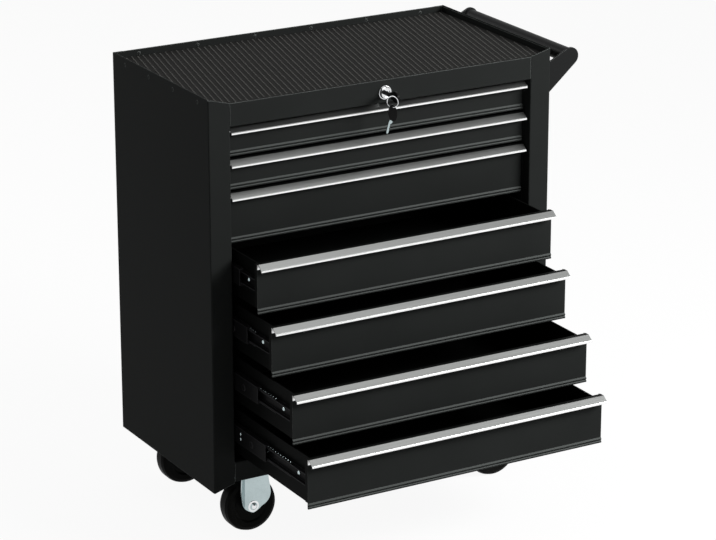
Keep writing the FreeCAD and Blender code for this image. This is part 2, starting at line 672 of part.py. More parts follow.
def swivel_fork(x, y):
    """The turning half: a crown under the race and two legs that trail the wheel behind the king pin."""
    top = CROWN_Z[1]
    lean = -TRAIL * 0.62
    legs = [fork_leg(x + TRAIL, y, CROWN_Z[0] + 0.5, way, lean) for way in (-1, 1)]
    reach = WHEEL_W / 2.0 + LEG_GAP + LEG_T
    crown = fuse([rod(V(x, y, CROWN_Z[0]), V(0, 0, 1), RACE_R + 4.0, top - CROWN_Z[0]),
                  box(x, x + TRAIL + 4.0, y - reach, y + reach, CROWN_Z[0], top)])
    ring = rod(V(x, y, top), V(0, 0, 1), RACE_R - 4.0, PLATE_UNDER - 5.5 - top - 0.2)
    ear = []
    for way in (-1, 1):
        y0, y1 = sorted((y + way * (reach - LEG_T), y + way * reach))
        points = [(x + TRAIL + 6.0, 78.0), (x + TRAIL + 39.0, 72.0), (x + TRAIL + 44.0, 77.0),
                  (x + TRAIL + 41.0, 82.0), (x + TRAIL + 4.0, CROWN_Z[0] + 0.5)]
        ear.append(prism(points, "xz", y0, y1))
    fork = fuse([crown, ring] + legs + ear)
    fork = fork.cut(rod(V(x, y, CROWN_Z[0] - 5.0), V(0, 0, 1), 6.0 + FIT, 20.0))
    fork = fork.cut(rod(V(x + TRAIL, y - 60.0, WHEEL_R), V(0, 1, 0), AXLE_R, 120.0))
    return fork.cut(rod(V(x + TRAIL + 39.0, y - 60.0, 77.0), V(0, 1, 0), 2.0 + FIT, 120.0))


def brake_pedal(x, y):
    """A foot brake on a pin between the ears: a pedal outside the fork and a shoe above the tread."""
    pivot_x = x + TRAIL + 39.0
    inner = WHEEL_W / 2.0 + LEG_GAP - 0.5
    pin = rod(V(pivot_x, y - inner - 4.0, 77.0), V(0, 1, 0), 2.0, 2.0 * inner + 8.0)
    section = [(pivot_x - 2.6, 79.6), (pivot_x - 2.6, 74.6), (pivot_x + 2.0, 73.4), (pivot_x + 34.0, 69.0),
               (pivot_x + 38.0, 72.0), (pivot_x + 36.0, 76.0), (pivot_x + 6.0, 81.0)]
    pedal = prism(section, "xz", y - inner, y + inner)
    return fuse([pin, pedal])


def plate_bolt(x, y):
    head = hexagon(x, y, 13.0, PLATE_UNDER - 5.0, PLATE_UNDER)
    shank = rod(V(x, y, PLATE_UNDER - 5.0), V(0, 0, 1), BOLT_R, PLATE_T + SHEET + 12.5)
    nut = hexagon(x, y, 13.0, PAN_UNDER + SHEET, PAN_UNDER + SHEET + 6.0)
    return fuse([head, shank, nut])


def bracket_screw(x, y, z):
    shank = rod(V(x - SHEET - 0.2, y, z), V(1, 0, 0), 3.0, SHEET + 2.4)
    head = Part.makeCone(5.2, 3.4, 2.6, V(x + 2.0, y, z), V(1, 0, 0))
    nut = rod(V(x - SHEET - 1.8, y, z), V(1, 0, 0), 5.0, 1.8)
    return fuse([shank, head, nut])


def tray_rivets():
    """Round-headed rivets that join the tray's rear wall to the back panel."""
    solids = []
    z = BASE_Z + TRAY_Z + 0.55 * TRAY_WALL
    wall = BODY_D - 3.0 * SHEET
    for x in RIVETS_X:
        head = Part.makeCone(RIVET_R, RIVET_R * 0.5, 1.4, V(x, wall, z), V(0, -1, 0))
        shank = rod(V(x, wall - 0.7, z), V(0, 1, 0), 1.5, 2.0 * SHEET + 1.7)
        solids.append(fuse([head, shank]))
    return solids


drawers = [Drawer(i) for i in range(7)]

left_panel = side_panel()
right_panel = mirrored(left_panel)
for bracket_y, flange_way in ((BRACKET_Y[0], 1), (BRACKET_Y[1], -1)):
    for bolt_x, bolt_y, bolt_z in bracket_bolts(bracket_y, flange_way):
        right_panel = right_panel.cut(rod(V(bolt_x - 3.0, bolt_y, bolt_z), V(1, 0, 0), 3.0, 6.0))
save("left_side_panel", left_panel)
save("right_side_panel", right_panel)

rivet_solids = tray_rivets()
rear_sheet = back_panel()
tray = top_tray()
for rivet in rivet_solids:
    rear_sheet = rear_sheet.cut(rivet)
    tray = tray.cut(rivet)
save("back_panel", rear_sheet)
save("top_tray", tray)
save("tray_rivets", *rivet_solids)
save("top_mat", top_mat())
save("floor_pan", floor_pan())
save("top_rail", top_rail())
save("bottom_rail", bottom_rail())
save("slide_posts", *slide_posts())

all_outer = []
for drawer in drawers:
    all_outer += drawer.outer_slides()
    save(drawer.name + "_box", drawer.box_solid(), drawer.lug())
    save(drawer.name + "_handle", drawer.handle())
    save(drawer.name + "_inner_slides", *drawer.inner_slides())
    save(drawer.name + "_middle_slides", *drawer.middle_slides())
save("outer_slides", *all_outer)

save("lock_barrel", lock_barrel())
save("lock_plug", lock_plug())
save("lock_key", lock_key())
save("lock_cam", lock_cam())
save("lock_bar", lock_bar_strip(), *[lock_tooth(drawer) for drawer in drawers])

save("push_tube", push_tube())
save("handle_brackets", handle_bracket(BRACKET_Y[0], 1), handle_bracket(BRACKET_Y[1], -1))

fasteners = []
for spot_x, spot_y in plate_bolts():
    fasteners.append(plate_bolt(spot_x, spot_y))
for bracket_y, flange_way in ((BRACKET_Y[0], 1), (BRACKET_Y[1], -1)):
    for bolt_x, bolt_y, bolt_z in bracket_bolts(bracket_y, flange_way):
        fasteners.append(bracket_screw(bolt_x, bolt_y, bolt_z))

for place, caster_y in zip(("front", "rear"), CASTERS_Y):
    save(place + "_left_fork", rigid_fork(-CASTER_X, caster_y))
    save(place + "_left_wheel", wheel(-CASTER_X, caster_y))
    fasteners.append(axle(-CASTER_X, caster_y))
    king_x = CASTER_X - TRAIL
    save(place + "_right_fork", swivel_fork(king_x, caster_y))
    save(place + "_right_wheel", wheel(CASTER_X, caster_y))
    save(place + "_right_axle", axle(CASTER_X, caster_y))
    save(place + "_right_brake", brake_pedal(king_x, caster_y))
save("swivel_plates", *[swivel_plate(CASTER_X - TRAIL, y) for y in CASTERS_Y])
save("fixed_bolts", *fasteners)
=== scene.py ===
import bmesh
import bpy
import json
import math
from mathutils import Matrix, Vector


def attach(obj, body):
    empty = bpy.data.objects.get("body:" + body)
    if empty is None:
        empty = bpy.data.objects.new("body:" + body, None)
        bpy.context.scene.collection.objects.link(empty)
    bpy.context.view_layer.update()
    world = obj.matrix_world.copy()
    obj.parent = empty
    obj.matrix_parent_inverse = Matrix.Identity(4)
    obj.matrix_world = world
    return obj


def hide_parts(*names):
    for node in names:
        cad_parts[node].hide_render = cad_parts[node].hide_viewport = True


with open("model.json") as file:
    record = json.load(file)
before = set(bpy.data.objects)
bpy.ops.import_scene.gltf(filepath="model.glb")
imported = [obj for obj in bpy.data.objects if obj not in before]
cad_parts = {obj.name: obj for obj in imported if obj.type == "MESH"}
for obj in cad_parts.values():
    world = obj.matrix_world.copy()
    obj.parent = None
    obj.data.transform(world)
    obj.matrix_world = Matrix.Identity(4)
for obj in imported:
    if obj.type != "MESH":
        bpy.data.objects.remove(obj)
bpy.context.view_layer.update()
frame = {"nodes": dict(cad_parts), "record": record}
nodes = frame["nodes"]

MM = 0.001
# The part's own sizes, in millimetres, with x from the middle of the body and y from its front plane
BODY_W = 615.0
BODY_D = 330.0
BASE_Z = 90.0
FACE_Y = 18.0
OPENED = (0.0, 0.0, 0.0, 91.0, 135.0, 199.0, 245.0)
LIP_Z = (579.0, 526.2, 473.4, 385.5, 297.6, 209.7, 121.8)
DEEP_DROP = 71.3
SHALLOW_DROP = 38.3
LOCK_Z = 700.0
MAT_TOP = 720.0
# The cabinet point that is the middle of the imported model, in x and y
ORIGIN = (30.75, 44.0)
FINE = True


def at(x, y, z):
    """A point of the cabinet, given in millimetres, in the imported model's frame and in metres."""
    return Vector(((x - ORIGIN[0]) * MM, (y - ORIGIN[1]) * MM, z * MM))


# Materials

def new_material(name):
    mat = bpy.data.materials.new(name)
    mat.use_nodes = True
    tree = mat.node_tree
    shader = tree.nodes["Principled BSDF"]
    return mat, tree, shader


def add(tree, kind, **values):
    node = tree.nodes.new(kind)
    for key, value in values.items():
        if hasattr(node, key):
            setattr(node, key, value)
        else:
            node.inputs[key.replace("_", " ")].default_value = value
    return node


def coords(tree, scale=(1.0, 1.0, 1.0)):
    source = add(tree, "ShaderNodeTexCoord")
    mapping = add(tree, "ShaderNodeMapping")
    mapping.inputs["Scale"].default_value = scale
    tree.links.new(source.outputs["Object"], mapping.inputs["Vector"])
    return mapping.outputs["Vector"]


def noise(tree, vector, scale, detail=2.0, roughness=0.5):
    node = add(tree, "ShaderNodeTexNoise", Scale=scale, Detail=detail, Roughness=roughness)
    tree.links.new(vector, node.inputs["Vector"])
    return node.outputs["Fac"]


def ramp(tree, fac, stops):
    node = add(tree, "ShaderNodeValToRGB")
    while len(node.color_ramp.elements) < len(stops):
        node.color_ramp.elements.new(0.5)
    for element, (place, color) in zip(node.color_ramp.elements, stops):
        element.position = place
        element.color = tuple(color) + (1.0,)
    tree.links.new(fac, node.inputs["Fac"])
    return node.outputs["Color"]


def spread(tree, fac, low, high):
    node = add(tree, "ShaderNodeMapRange")
    node.inputs["To Min"].default_value = low
    node.inputs["To Max"].default_value = high
    tree.links.new(fac, node.inputs["Value"])
    return node.outputs["Result"]


def bump(tree, shader, height, strength, distance):
    node = add(tree, "ShaderNodeBump", Strength=strength, Distance=distance)
    tree.links.new(height, node.inputs["Height"])
    tree.links.new(node.outputs["Normal"], shader.inputs["Normal"])


def tint(color, factor):
    return tuple(c * factor for c in color)


def between(tree, value, start, end):
    """0 where the value is at start or before it, 1 from end on."""
    node = add(tree, "ShaderNodeMapRange")
    node.inputs["From Min"].default_value = start
    node.inputs["From Max"].default_value = end
    tree.links.new(value, node.inputs["Value"])
    return node.outputs["Result"]


def toward(tree, factor, first, color):
    """The first colour, going over into the second with the factor."""
    node = add(tree, "ShaderNodeMix", data_type="RGBA")
    tree.links.new(factor, node.inputs["Factor"])
    tree.links.new(first, node.inputs["A"])
    node.inputs["B"].default_value = tuple(color) + (1.0,)
    return node.outputs["Result"]


# Ranges of the cosine between a face's normal and the rounded normal, or of a part of the normal, over which
# painted highlight and painted shade come in
FOLD_TURN = (0.985, 0.86)
LOOKS_UP = (0.30, 0.60)
LOOKS_DOWN = (-0.30, -0.60)
LOOKS_ASIDE = (-0.50, -0.20)
UPRIGHT_FRONT = (-0.80, -0.96)
# Shares of the drawer coat's colour: a painted highlight on folds that look up, painted shade under folds
# that look down, and painted shade on the sides and inside
PAINTED_FOLD_HIGHLIGHT = 4.5
PAINTED_FOLD_SHADE = 0.3
PAINTED_INSIDE_SHADE = 0.35
# Clouds and grain of each surface, in forms per metre, and the height of the grain in metres
COAT_CLOUDS = 9.0
COAT_PEEL = 1100.0
PEEL_HEIGHT = 0.00012
LINE_HEIGHT = 0.00004
PLATE_CLOUDS = 60.0
PLATE_GRAIN = 700.0
PLATE_HEIGHT = 0.00005
RUBBER_CLOUDS = 35.0
RUBBER_GRAIN = 900.0
RUBBER_HEIGHT = 0.0001


def powder_coat(name, color, rough=(0.40, 0.50), grain=0.25, gloss=0.008, edge=8.0, fold=0.0014,
                drawer=False):
    """Satin powder coat with a fine orange peel, and a painted highlight on its folds and edges, which are
    lighter by the factor edge, out to fold metres from them. On a drawer the folds of the front that look up
    get a painted highlight, those that look down get painted shade, and its sides and inside get painted
    shade."""
    mat, tree, shader = new_material(name)
    vector = coords(tree)
    cloud = noise(tree, vector, COAT_CLOUDS, 3.0)
    shade = ramp(tree, cloud, ((0.3, tint(color, 0.94)), (0.7, tint(color, 1.06))))
    surface = add(tree, "ShaderNodeNewGeometry")
    rounded = add(tree, "ShaderNodeBevel", samples=4, Radius=fold)
    turn = add(tree, "ShaderNodeVectorMath", operation="DOT_PRODUCT")
    tree.links.new(surface.outputs["Normal"], turn.inputs[0])
    tree.links.new(rounded.outputs["Normal"], turn.inputs[1])
    # Painted highlight on the folds and edges
    shade = toward(tree, between(tree, turn.outputs["Value"], *FOLD_TURN), shade, tint(color, edge))
    if drawer:
        split = add(tree, "ShaderNodeSeparateXYZ")
        tree.links.new(surface.outputs["Normal"], split.inputs[0])
        forward = split.outputs["Y"]
        upward = split.outputs["Z"]
        # Painted highlight on the folds that look up; painted shade under those that look down and on the
        # sides and inside
        shade = toward(tree, between(tree, upward, *LOOKS_UP), shade, tint(color, PAINTED_FOLD_HIGHLIGHT))
        shade = toward(tree, between(tree, upward, *LOOKS_DOWN), shade, tint(color, PAINTED_FOLD_SHADE))
        shade = toward(tree, between(tree, forward, *LOOKS_ASIDE), shade, tint(color, PAINTED_INSIDE_SHADE))
    tree.links.new(shade, shader.inputs["Base Color"])
    tree.links.new(spread(tree, cloud, *rough), shader.inputs["Roughness"])
    bump(tree, shader, noise(tree, vector, COAT_PEEL), grain, PEEL_HEIGHT)
    shader.inputs["Specular IOR Level"].default_value = gloss
    return mat


def drawn_aluminium(name, slope, lip, scale, rough=(0.26, 0.38)):
    """Aluminium with fine lines along the pull; its upright front lip is brighter than its sloping top,
    partly for a polished finish and partly as a painted highlight.
    """
    mat, tree, shader = new_material(name)
    lines = noise(tree, coords(tree, scale), 1.0, 3.0, 0.6)
    brushed = ramp(tree, lines, ((0.25, (0.88, 0.88, 0.88)), (0.75, (1.0, 1.0, 1.0))))
    surface = add(tree, "ShaderNodeNewGeometry")
    split = add(tree, "ShaderNodeSeparateXYZ")
    tree.links.new(surface.outputs["Normal"], split.inputs[0])
    # The upright lip is brighter: partly its polished finish, partly a painted highlight
    shade = ramp(tree, between(tree, split.outputs["Y"], *UPRIGHT_FRONT), ((0.0, slope), (1.0, lip)))
    mixer = add(tree, "ShaderNodeMix", data_type="RGBA", blend_type="MULTIPLY")
    mixer.inputs["Factor"].default_value = 1.0
    tree.links.new(shade, mixer.inputs["A"])
    tree.links.new(brushed, mixer.inputs["B"])
    tree.links.new(mixer.outputs["Result"], shader.inputs["Base Color"])
    tree.links.new(spread(tree, lines, *rough), shader.inputs["Roughness"])
    bump(tree, shader, lines, 0.25, LINE_HEIGHT)
    shader.inputs["Metallic"].default_value = 1.0
    return mat


def plated_metal(name, color, rough=(0.16, 0.3)):
    """Zinc or chrome plate, with faint cloudy patches."""
    mat, tree, shader = new_material(name)
    vector = coords(tree)
    cloud = noise(tree, vector, PLATE_CLOUDS, 4.0, 0.6)
    tree.links.new(ramp(tree, cloud, ((0.3, tint(color, 0.92)), (0.7, tint(color, 1.04)))),
                   shader.inputs["Base Color"])
    tree.links.new(spread(tree, cloud, *rough), shader.inputs["Roughness"])
    bump(tree, shader, noise(tree, vector, PLATE_GRAIN), 0.08, PLATE_HEIGHT)
    shader.inputs["Metallic"].default_value = 1.0
    return mat


def moulded(name, color, rough=(0.42, 0.56), grain=0.2, gloss=0.2):
    """Moulded rubber or plastic with a fine texture."""
    mat, tree, shader = new_material(name)
    vector = coords(tree)
    cloud = noise(tree, vector, RUBBER_CLOUDS, 3.0)
    tree.links.new(ramp(tree, cloud, ((0.3, tint(color, 0.85)), (0.7, tint(color, 1.15)))),
                   shader.inputs["Base Color"])
    tree.links.new(spread(tree, cloud, *rough), shader.inputs["Roughness"])
    bump(tree, shader, noise(tree, vector, RUBBER_GRAIN), grain, RUBBER_HEIGHT)
    shader.inputs["Specular IOR Level"].default_value = gloss
    return mat


def beaded_rubber(name, valley_shade, crown_highlight, low, high):
    """Rubber with painted shade between its raised beads and a painted highlight on their crowns; low and
    high are the levels of the two, in metres.
    """
    mat, tree, shader = new_material(name)
    source = add(tree, "ShaderNodeTexCoord")
    split = add(tree, "ShaderNodeSeparateXYZ")
    tree.links.new(source.outputs["Object"], split.inputs[0])
    # Painted shade low between the beads, painted highlight up on their crowns
    shade = ramp(tree, between(tree, split.outputs["Z"], low, high), ((0.0, valley_shade), (1.0, crown_highlight)))
    tree.links.new(shade, shader.inputs["Base Color"])
    vector = coords(tree)
    cloud = noise(tree, vector, RUBBER_CLOUDS, 3.0)
    tree.links.new(spread(tree, cloud, 0.46, 0.60), shader.inputs["Roughness"])
    bump(tree, shader, noise(tree, vector, RUBBER_GRAIN), 0.3, RUBBER_HEIGHT)
    shader.inputs["Specular IOR Level"].default_value = 0.002
    return mat


COAT = (0.0112, 0.0121, 0.0117)
BODY = powder_coat("body_coat", COAT)
FRONT = powder_coat("drawer_coat", COAT, rough=(0.38, 0.46), edge=5.0, fold=0.0007, drawer=True)
HANDLE = powder_coat("handle_coat", (0.0085, 0.0088, 0.0088), rough=(0.34, 0.44), gloss=0.03)
# The lip colour is much brighter than the slope's: partly a polished finish, partly a painted highlight
SLOPE = (0.235, 0.24, 0.235)
LIP_POLISH_AND_HIGHLIGHT = (0.90, 0.90, 0.90)
ALUMINIUM = drawn_aluminium("brushed_aluminium", SLOPE, LIP_POLISH_AND_HIGHLIGHT, (6.0, 900.0, 900.0))
SLIDE = powder_coat("slide_coat", (0.0055, 0.0055, 0.0058), rough=(0.34, 0.44), grain=0.1, gloss=0.02)
ZINC = plated_metal("zinc_plate", (0.46, 0.54, 0.55))
CHROME = plated_metal("chrome_plate", (0.80, 0.81, 0.82), rough=(0.06, 0.14))
WHEEL = moulded("wheel_rubber", (0.0035, 0.0035, 0.0032), rough=(0.34, 0.44), gloss=0.03)
# Painted shade between the mat's beads, and a painted highlight on their crowns
PAINTED_VALLEY_SHADE = (0.0145, 0.0145, 0.014)
PAINTED_CROWN_HIGHLIGHT = (0.060, 0.060, 0.057)
MAT = beaded_rubber("mat_rubber", PAINTED_VALLEY_SHADE, PAINTED_CROWN_HIGHLIGHT, 0.7191, 0.7198)
PLASTIC = moulded("key_plastic", (0.0035, 0.0035, 0.0035), rough=(0.30, 0.42), gloss=0.04)

BY_SLOT = {
    "body_paint": BODY, "drawer_paint": FRONT, "handle_paint": HANDLE, "pedal_paint": HANDLE,
    "pull_aluminium": ALUMINIUM, "slide_steel": SLIDE, "zinc_steel": ZINC, "wheel_rubber": WHEEL,
    "mat_rubber": MAT, "lock_chrome": CHROME, "key_plastic": PLASTIC,
}

EDGE_ANGLE = math.radians(28.0)
ROUNDED_ANGLE = math.radians(40.0)
# How far the edges of each slot are rounded, in millimetres
EDGE_ROUND = {"body_paint": 0.35, "drawer_paint": 0.3, "pull_aluminium": 0.25, "wheel_rubber": 0.6,
              "zinc_steel": 0.35, "handle_paint": 0.4, "lock_chrome": 0.25, "pedal_paint": 0.5}


def smooth_by_angle(mesh):
    """Smooth faces, with hard edges kept where the surface turns sharply."""
    work = bmesh.new()
    work.from_mesh(mesh)
    for face in work.faces:
        face.smooth = True
    for edge in work.edges:
        sharp = len(edge.link_faces) == 2 and edge.calc_face_angle(0.0) > EDGE_ANGLE
        edge.smooth = not sharp
    work.to_mesh(mesh)
    work.free()


def dress(obj, slot_name):
    obj.data.materials.clear()
    obj.data.materials.append(BY_SLOT[slot_name])
    smooth_by_angle(obj.data)
    width = EDGE_ROUND.get(slot_name)
    if width and FINE:
        edge = obj.modifiers.new("edges", "BEVEL")
        edge.width = width * MM
        edge.segments = 2
        edge.limit_method = "ANGLE"
        edge.angle_limit = ROUNDED_ANGLE
        edge.harden_normals = True
        edge.use_clamp_overlap = True


for part in frame["record"]["subparts"]:
    dress(nodes[part["node"]], part["material_slot"])


# Pieces

def new_piece(name, work, material, body):
    mesh = bpy.data.meshes.new(name)
    work.to_mesh(mesh)
    work.free()
    obj = bpy.data.objects.new(name, mesh)
    bpy.context.scene.collection.objects.link(obj)
    mesh.materials.append(material)
    smooth_by_angle(mesh)
    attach(obj, body)
    return obj


def wall_between(work, low, high):
    """The faces between two closed rings with the same number of points."""
    for i in range(len(low)):
        j = (i + 1) % len(low)
        work.faces.new((low[i], low[j], high[j], high[i]))


def ring_points(centre, axis_u, axis_v, radius, count):
    points = []
    for i in range(count):
        angle = 2.0 * math.pi * i / count
        points.append(centre + (axis_u * math.cos(angle) + axis_v * math.sin(angle)) * radius * MM)
    return points


def turned(work, start, axis, profile, count=24):
    """A turned form: profile is (distance along the axis, radius) in mm, closed at both ends."""
    axis = axis.normalized()
    side = axis.orthogonal().normalized()
    other = axis.cross(side)
    rings = []
    for along, radius in profile:
        centre = start + axis * along * MM
        rings.append([work.verts.new(p) for p in ring_points(centre, side, other, radius, count)])
    for low, high in zip(rings, rings[1:]):
        wall_between(work, low, high)
    work.faces.new(list(reversed(rings[0])))
    work.faces.new(rings[-1])


def tube_along(work, points, radius, count=10, closed=False):
    """A round wire through the points."""
    total = len(points)
    rings = []
    normal = None
    for i, point in enumerate(points):
        before = points[i - 1] if i or closed else points[i]
        after = points[(i + 1) % total] if i < total - 1 or closed else points[i]
        run = (after - before).normalized()
        if normal is None:
            normal = run.orthogonal().normalized()
        normal = (normal - run * normal.dot(run)).normalized()
        other = run.cross(normal)
        rings.append([work.verts.new(p) for p in ring_points(point, normal, other, radius, count)])
    pairs = list(zip(rings, rings[1:]))
    if closed:
        pairs.append((rings[-1], rings[0]))
    for low, high in pairs:
        wall_between(work, low, high)
    if not closed:
        work.faces.new(list(reversed(rings[0])))
        work.faces.new(rings[-1])


# Mat with raised beads

MAT_DEEP = 3.0
MAT_SIDE = BODY_W / 2.0 - 4.5
MAT_FRONT = 2.0
MAT_REAR = 325.5
# The mat's front edge steps back between the stiles
MAT_STEP = (273.0, 5.5)
BEADS_FROM = 9.0
BEADS_TO = 322.0
BEAD_CLEAR = 3.0
BEAD_SUNK = 0.05
BEAD_ROWS = 9.6
BEAD_STEP = 7.6
BEAD_LONG = 5.4
BEAD_WIDE = 3.1
BEAD_TALL = 0.9
BEAD_TILT = math.radians(14.0)
# Width and height shares of a bead's rings, from its foot up
BEAD_RINGS = ((1.0, 0.0), (0.88, 0.62), (0.5, 1.0))
BEAD_SIDES = 8
# How far the corners of an eight-sided ring lie from its middle, as a share of its width
BEAD_CORNER = 0.54
# The tilt moves the rows sideways, so there are more of them than the mat is wide
SPARE_ROWS = 12


def bead(work, x, y, base):
    """One raised bar of the mat, with rounded ends and a crowned top."""
    rings = []
    for grow, rise in BEAD_RINGS:
        ring = []
        for i in range(BEAD_SIDES):
            angle = 2.0 * math.pi * (i + 0.5) / BEAD_SIDES
            across = math.cos(angle) * BEAD_WIDE * BEAD_CORNER * grow
            along = math.sin(angle) * BEAD_LONG * BEAD_CORNER * grow
            px = x + across * math.cos(BEAD_TILT) + along * math.sin(BEAD_TILT)
            py = y - across * math.sin(BEAD_TILT) + along * math.cos(BEAD_TILT)
            ring.append(work.verts.new(at(px, py, base + rise * BEAD_TALL)))
        rings.append(ring)
    for low, high in zip(rings, rings[1:]):
        wall_between(work, low, high)
    work.faces.new(rings[-1])
    work.faces.new(list(reversed(rings[0])))


def make_mat():
    work = bmesh.new()
    base = MAT_TOP - BEAD_TALL
    inner, recessed = MAT_STEP
    corners = ((-MAT_SIDE, MAT_FRONT), (-inner, MAT_FRONT), (-inner, recessed), (inner, recessed),
               (inner, MAT_FRONT), (MAT_SIDE, MAT_FRONT), (MAT_SIDE, MAT_REAR), (-MAT_SIDE, MAT_REAR))
    low = [work.verts.new(at(x, y, MAT_TOP - MAT_DEEP)) for x, y in corners]
    high = [work.verts.new(at(x, y, base)) for x, y in corners]
    work.faces.new(high)
    work.faces.new(list(reversed(low)))
    wall_between(work, low, high)
    rows = int(2.0 * MAT_SIDE / BEAD_ROWS) + SPARE_ROWS
    steps = int(BODY_D / BEAD_STEP) + 2
    for r in range(-rows, rows):
        for k in range(steps):
            y = BEADS_FROM + k * BEAD_STEP + (BEAD_STEP / 2.0 if r % 2 else 0.0)
            x = r * BEAD_ROWS / math.cos(BEAD_TILT) + (y - BODY_D / 2.0) * math.tan(BEAD_TILT)
            if abs(x) < MAT_SIDE - BEAD_CLEAR and y < BEADS_TO:
                bead(work, x, y, base - BEAD_SUNK)
    mat = new_piece("ribbed_mat", work, MAT, "cabinet")
    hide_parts("top_mat")


make_mat()


# Slide fasteners, ball cages and marks

DEEP_SLIDE_Z = 43.3
SHALLOW_SLIDE_Z = 23.5
INNER_FACE = 258.7
MIDDLE_FACE = 267.5
SLIDE_FRONT = 28.0
SCREWS_BEHIND_FACE = (41.0, 141.0, 251.0)
SCREW_HEAD = (3.6, 2.0)
# The rows of balls: their x, their distance from the slide's middle line, and their pitch
RACE_X = 262.0
RACE_OFF = 10.9
BALL_GAP = 8.0
BALL_R = 1.3
CAGE_BEHIND_FACE = 56.0
CAGE_LONG = 168.0
CAGE_WIDE = 5.2
CAGE_THICK = 0.7
# The marks on the middle member, measured back from its front end
STOP_BEHIND = 45.5
STOP_LOWER = 1.5
STOP_HEAD = (5.6, 1.2)
TAB_BEHIND = 81.5
TAB_DOT_OFF = 4.2
TAB_DOT = ((0.0, 2.6), (0.7, 2.2))
TAB_BAR = (0.5, 2.2, 8.0)
# Height and width shares of a rounded head
DOME = ((0.0, 1.0), (0.35, 0.96), (0.75, 0.74), (1.0, 0.34))


def dome(work, start, axis, radius, tall, count=14):
    """A pan head: straight at its foot and rounded over the top."""
    turned(work, start, axis, [(share * tall, radius * width) for share, width in DOME], count)


def block(work, corner, size):
    """A plain box from its low corner, in cabinet millimetres."""
    x, y, z = corner
    dx, dy, dz = size
    corners = ((0, 0), (1, 0), (1, 1), (0, 1))
    low = [work.verts.new(at(x + i * dx, y + j * dy, z)) for i, j in corners]
    high = [work.verts.new(at(x + i * dx, y + j * dy, z + dz)) for i, j in corners]
    work.faces.new(list(reversed(low)))
    work.faces.new(high)
    wall_between(work, low, high)


def slide_level(index):
    deep = index > 1
    low = BASE_Z + LIP_Z[index] - (DEEP_DROP if deep else SHALLOW_DROP)
    return low + (DEEP_SLIDE_Z if deep else SHALLOW_SLIDE_Z)


def ball_row(work, x, y0, y1, z):
    steps = int((y1 - y0) / BALL_GAP)
    for k in range(steps):
        place = Matrix.Translation(at(x, y0 + (k + 0.5) * BALL_GAP, z))
        bmesh.ops.create_icosphere(work, subdivisions=1, radius=BALL_R * MM, matrix=place)


def make_slide_details(index):
    name = "drawer_%d" % (index + 1)
    runner = "runner_%d" % (index + 1)
    level = slide_level(index)
    face = FACE_Y - OPENED[index]
    middle_front = SLIDE_FRONT - OPENED[index] / 2.0
    cage = face + CAGE_BEHIND_FACE
    screws = bmesh.new()
    cages = bmesh.new()
    balls = bmesh.new()
    stops = bmesh.new()
    tabs = bmesh.new()
    for side in (-1.0, 1.0):
        outward = Vector((side, 0.0, 0.0))
        for behind in SCREWS_BEHIND_FACE:
            dome(screws, at(side * INNER_FACE, face + behind, level), outward, *SCREW_HEAD)
        for way in (-1.0, 1.0):
            z = level + way * RACE_OFF
            corner = (side * RACE_X - CAGE_WIDE / 2.0, cage, z - CAGE_THICK / 2.0)
            block(cages, corner, (CAGE_WIDE, CAGE_LONG, CAGE_THICK))
            ball_row(balls, side * RACE_X, cage, cage + CAGE_LONG, z)
        boss = at(side * MIDDLE_FACE, middle_front + STOP_BEHIND, level - STOP_LOWER)
        dome(stops, boss, outward, *STOP_HEAD, 20)
        tab = middle_front + TAB_BEHIND
        for way in (-1.0, 1.0):
            turned(tabs, at(side * MIDDLE_FACE, tab, level + way * TAB_DOT_OFF), outward, TAB_DOT, 14)
        thick, wide, tall = TAB_BAR
        low = min(side * MIDDLE_FACE, side * (MIDDLE_FACE + thick))
        block(tabs, (low, tab - wide / 2.0, level - tall / 2.0), TAB_BAR)
    new_piece(name + "_slide_screws", screws, ZINC, name)
    new_piece(name + "_ball_cages", cages, SLIDE, name)
    new_piece(name + "_balls", balls, ZINC, name)
    new_piece(name + "_stops", stops, SLIDE, runner)
    new_piece(name + "_stop_tabs", tabs, ZINC, runner)


for drawer_index in range(len(OPENED)):
    make_slide_details(drawer_index)


# Caster axle caps

AXLE_HEAD = 22.2
AXLE_REACH = 20.0
WHEEL_R = 45.0
WASHER = ((0.0, 9.6), (0.6, 9.6), (0.9, 9.0), (0.9, 7.0))
AXLE_DOME = (4.4, 2.6)
DOME_SUNK = 0.2
# The name, x and y of each caster's axle, and the body that it rides on
CASTERS = (("front_left_cap", -228.5, 40.0, "cabinet"),
           ("rear_left_cap", -228.5, 266.0, "cabinet"),
           ("front_right_cap", 257.5, 40.0, "front_right_caster"),
           ("rear_right_cap", 257.5, 266.0, "rear_right_caster"))


def make_axle_caps(name, x, y, body):
    work = bmesh.new()
    for way in (-1.0, 1.0):
        outward = Vector((0.0, way, 0.0))
        turned(work, at(x, y + way * AXLE_REACH, WHEEL_R), outward, WASHER, 28)
        dome(work, at(x, y + way * (AXLE_HEAD - DOME_SUNK), WHEEL_R), outward, *AXLE_DOME, 20)
    new_piece(name, work, CHROME, body)


for caster in CASTERS:
    make_axle_caps(*caster)


# Spot welds where the sides meet the top tray, and rivets that hold the back panel

WELDS_Y = (36.0, 118.0, 201.0, 284.0)
WELDS_UP = 629.0
WELD = ((0.0, 3.4), (0.25, 3.0), (0.3, 1.6))
RIVETS_X = 299.0
RIVETS_UP = (60.0, 170.0, 280.0, 390.0, 500.0, 605.0)
RIVET_HEAD = (3.4, 1.5)


def make_spot_welds():
    work = bmesh.new()
    for side in (-1.0, 1.0):
        for y in WELDS_Y:
            spot = at(side * BODY_W / 2.0, y, BASE_Z + WELDS_UP)
            turned(work, spot, Vector((side, 0.0, 0.0)), WELD, 18)
    new_piece("spot_welds", work, BODY, "cabinet")


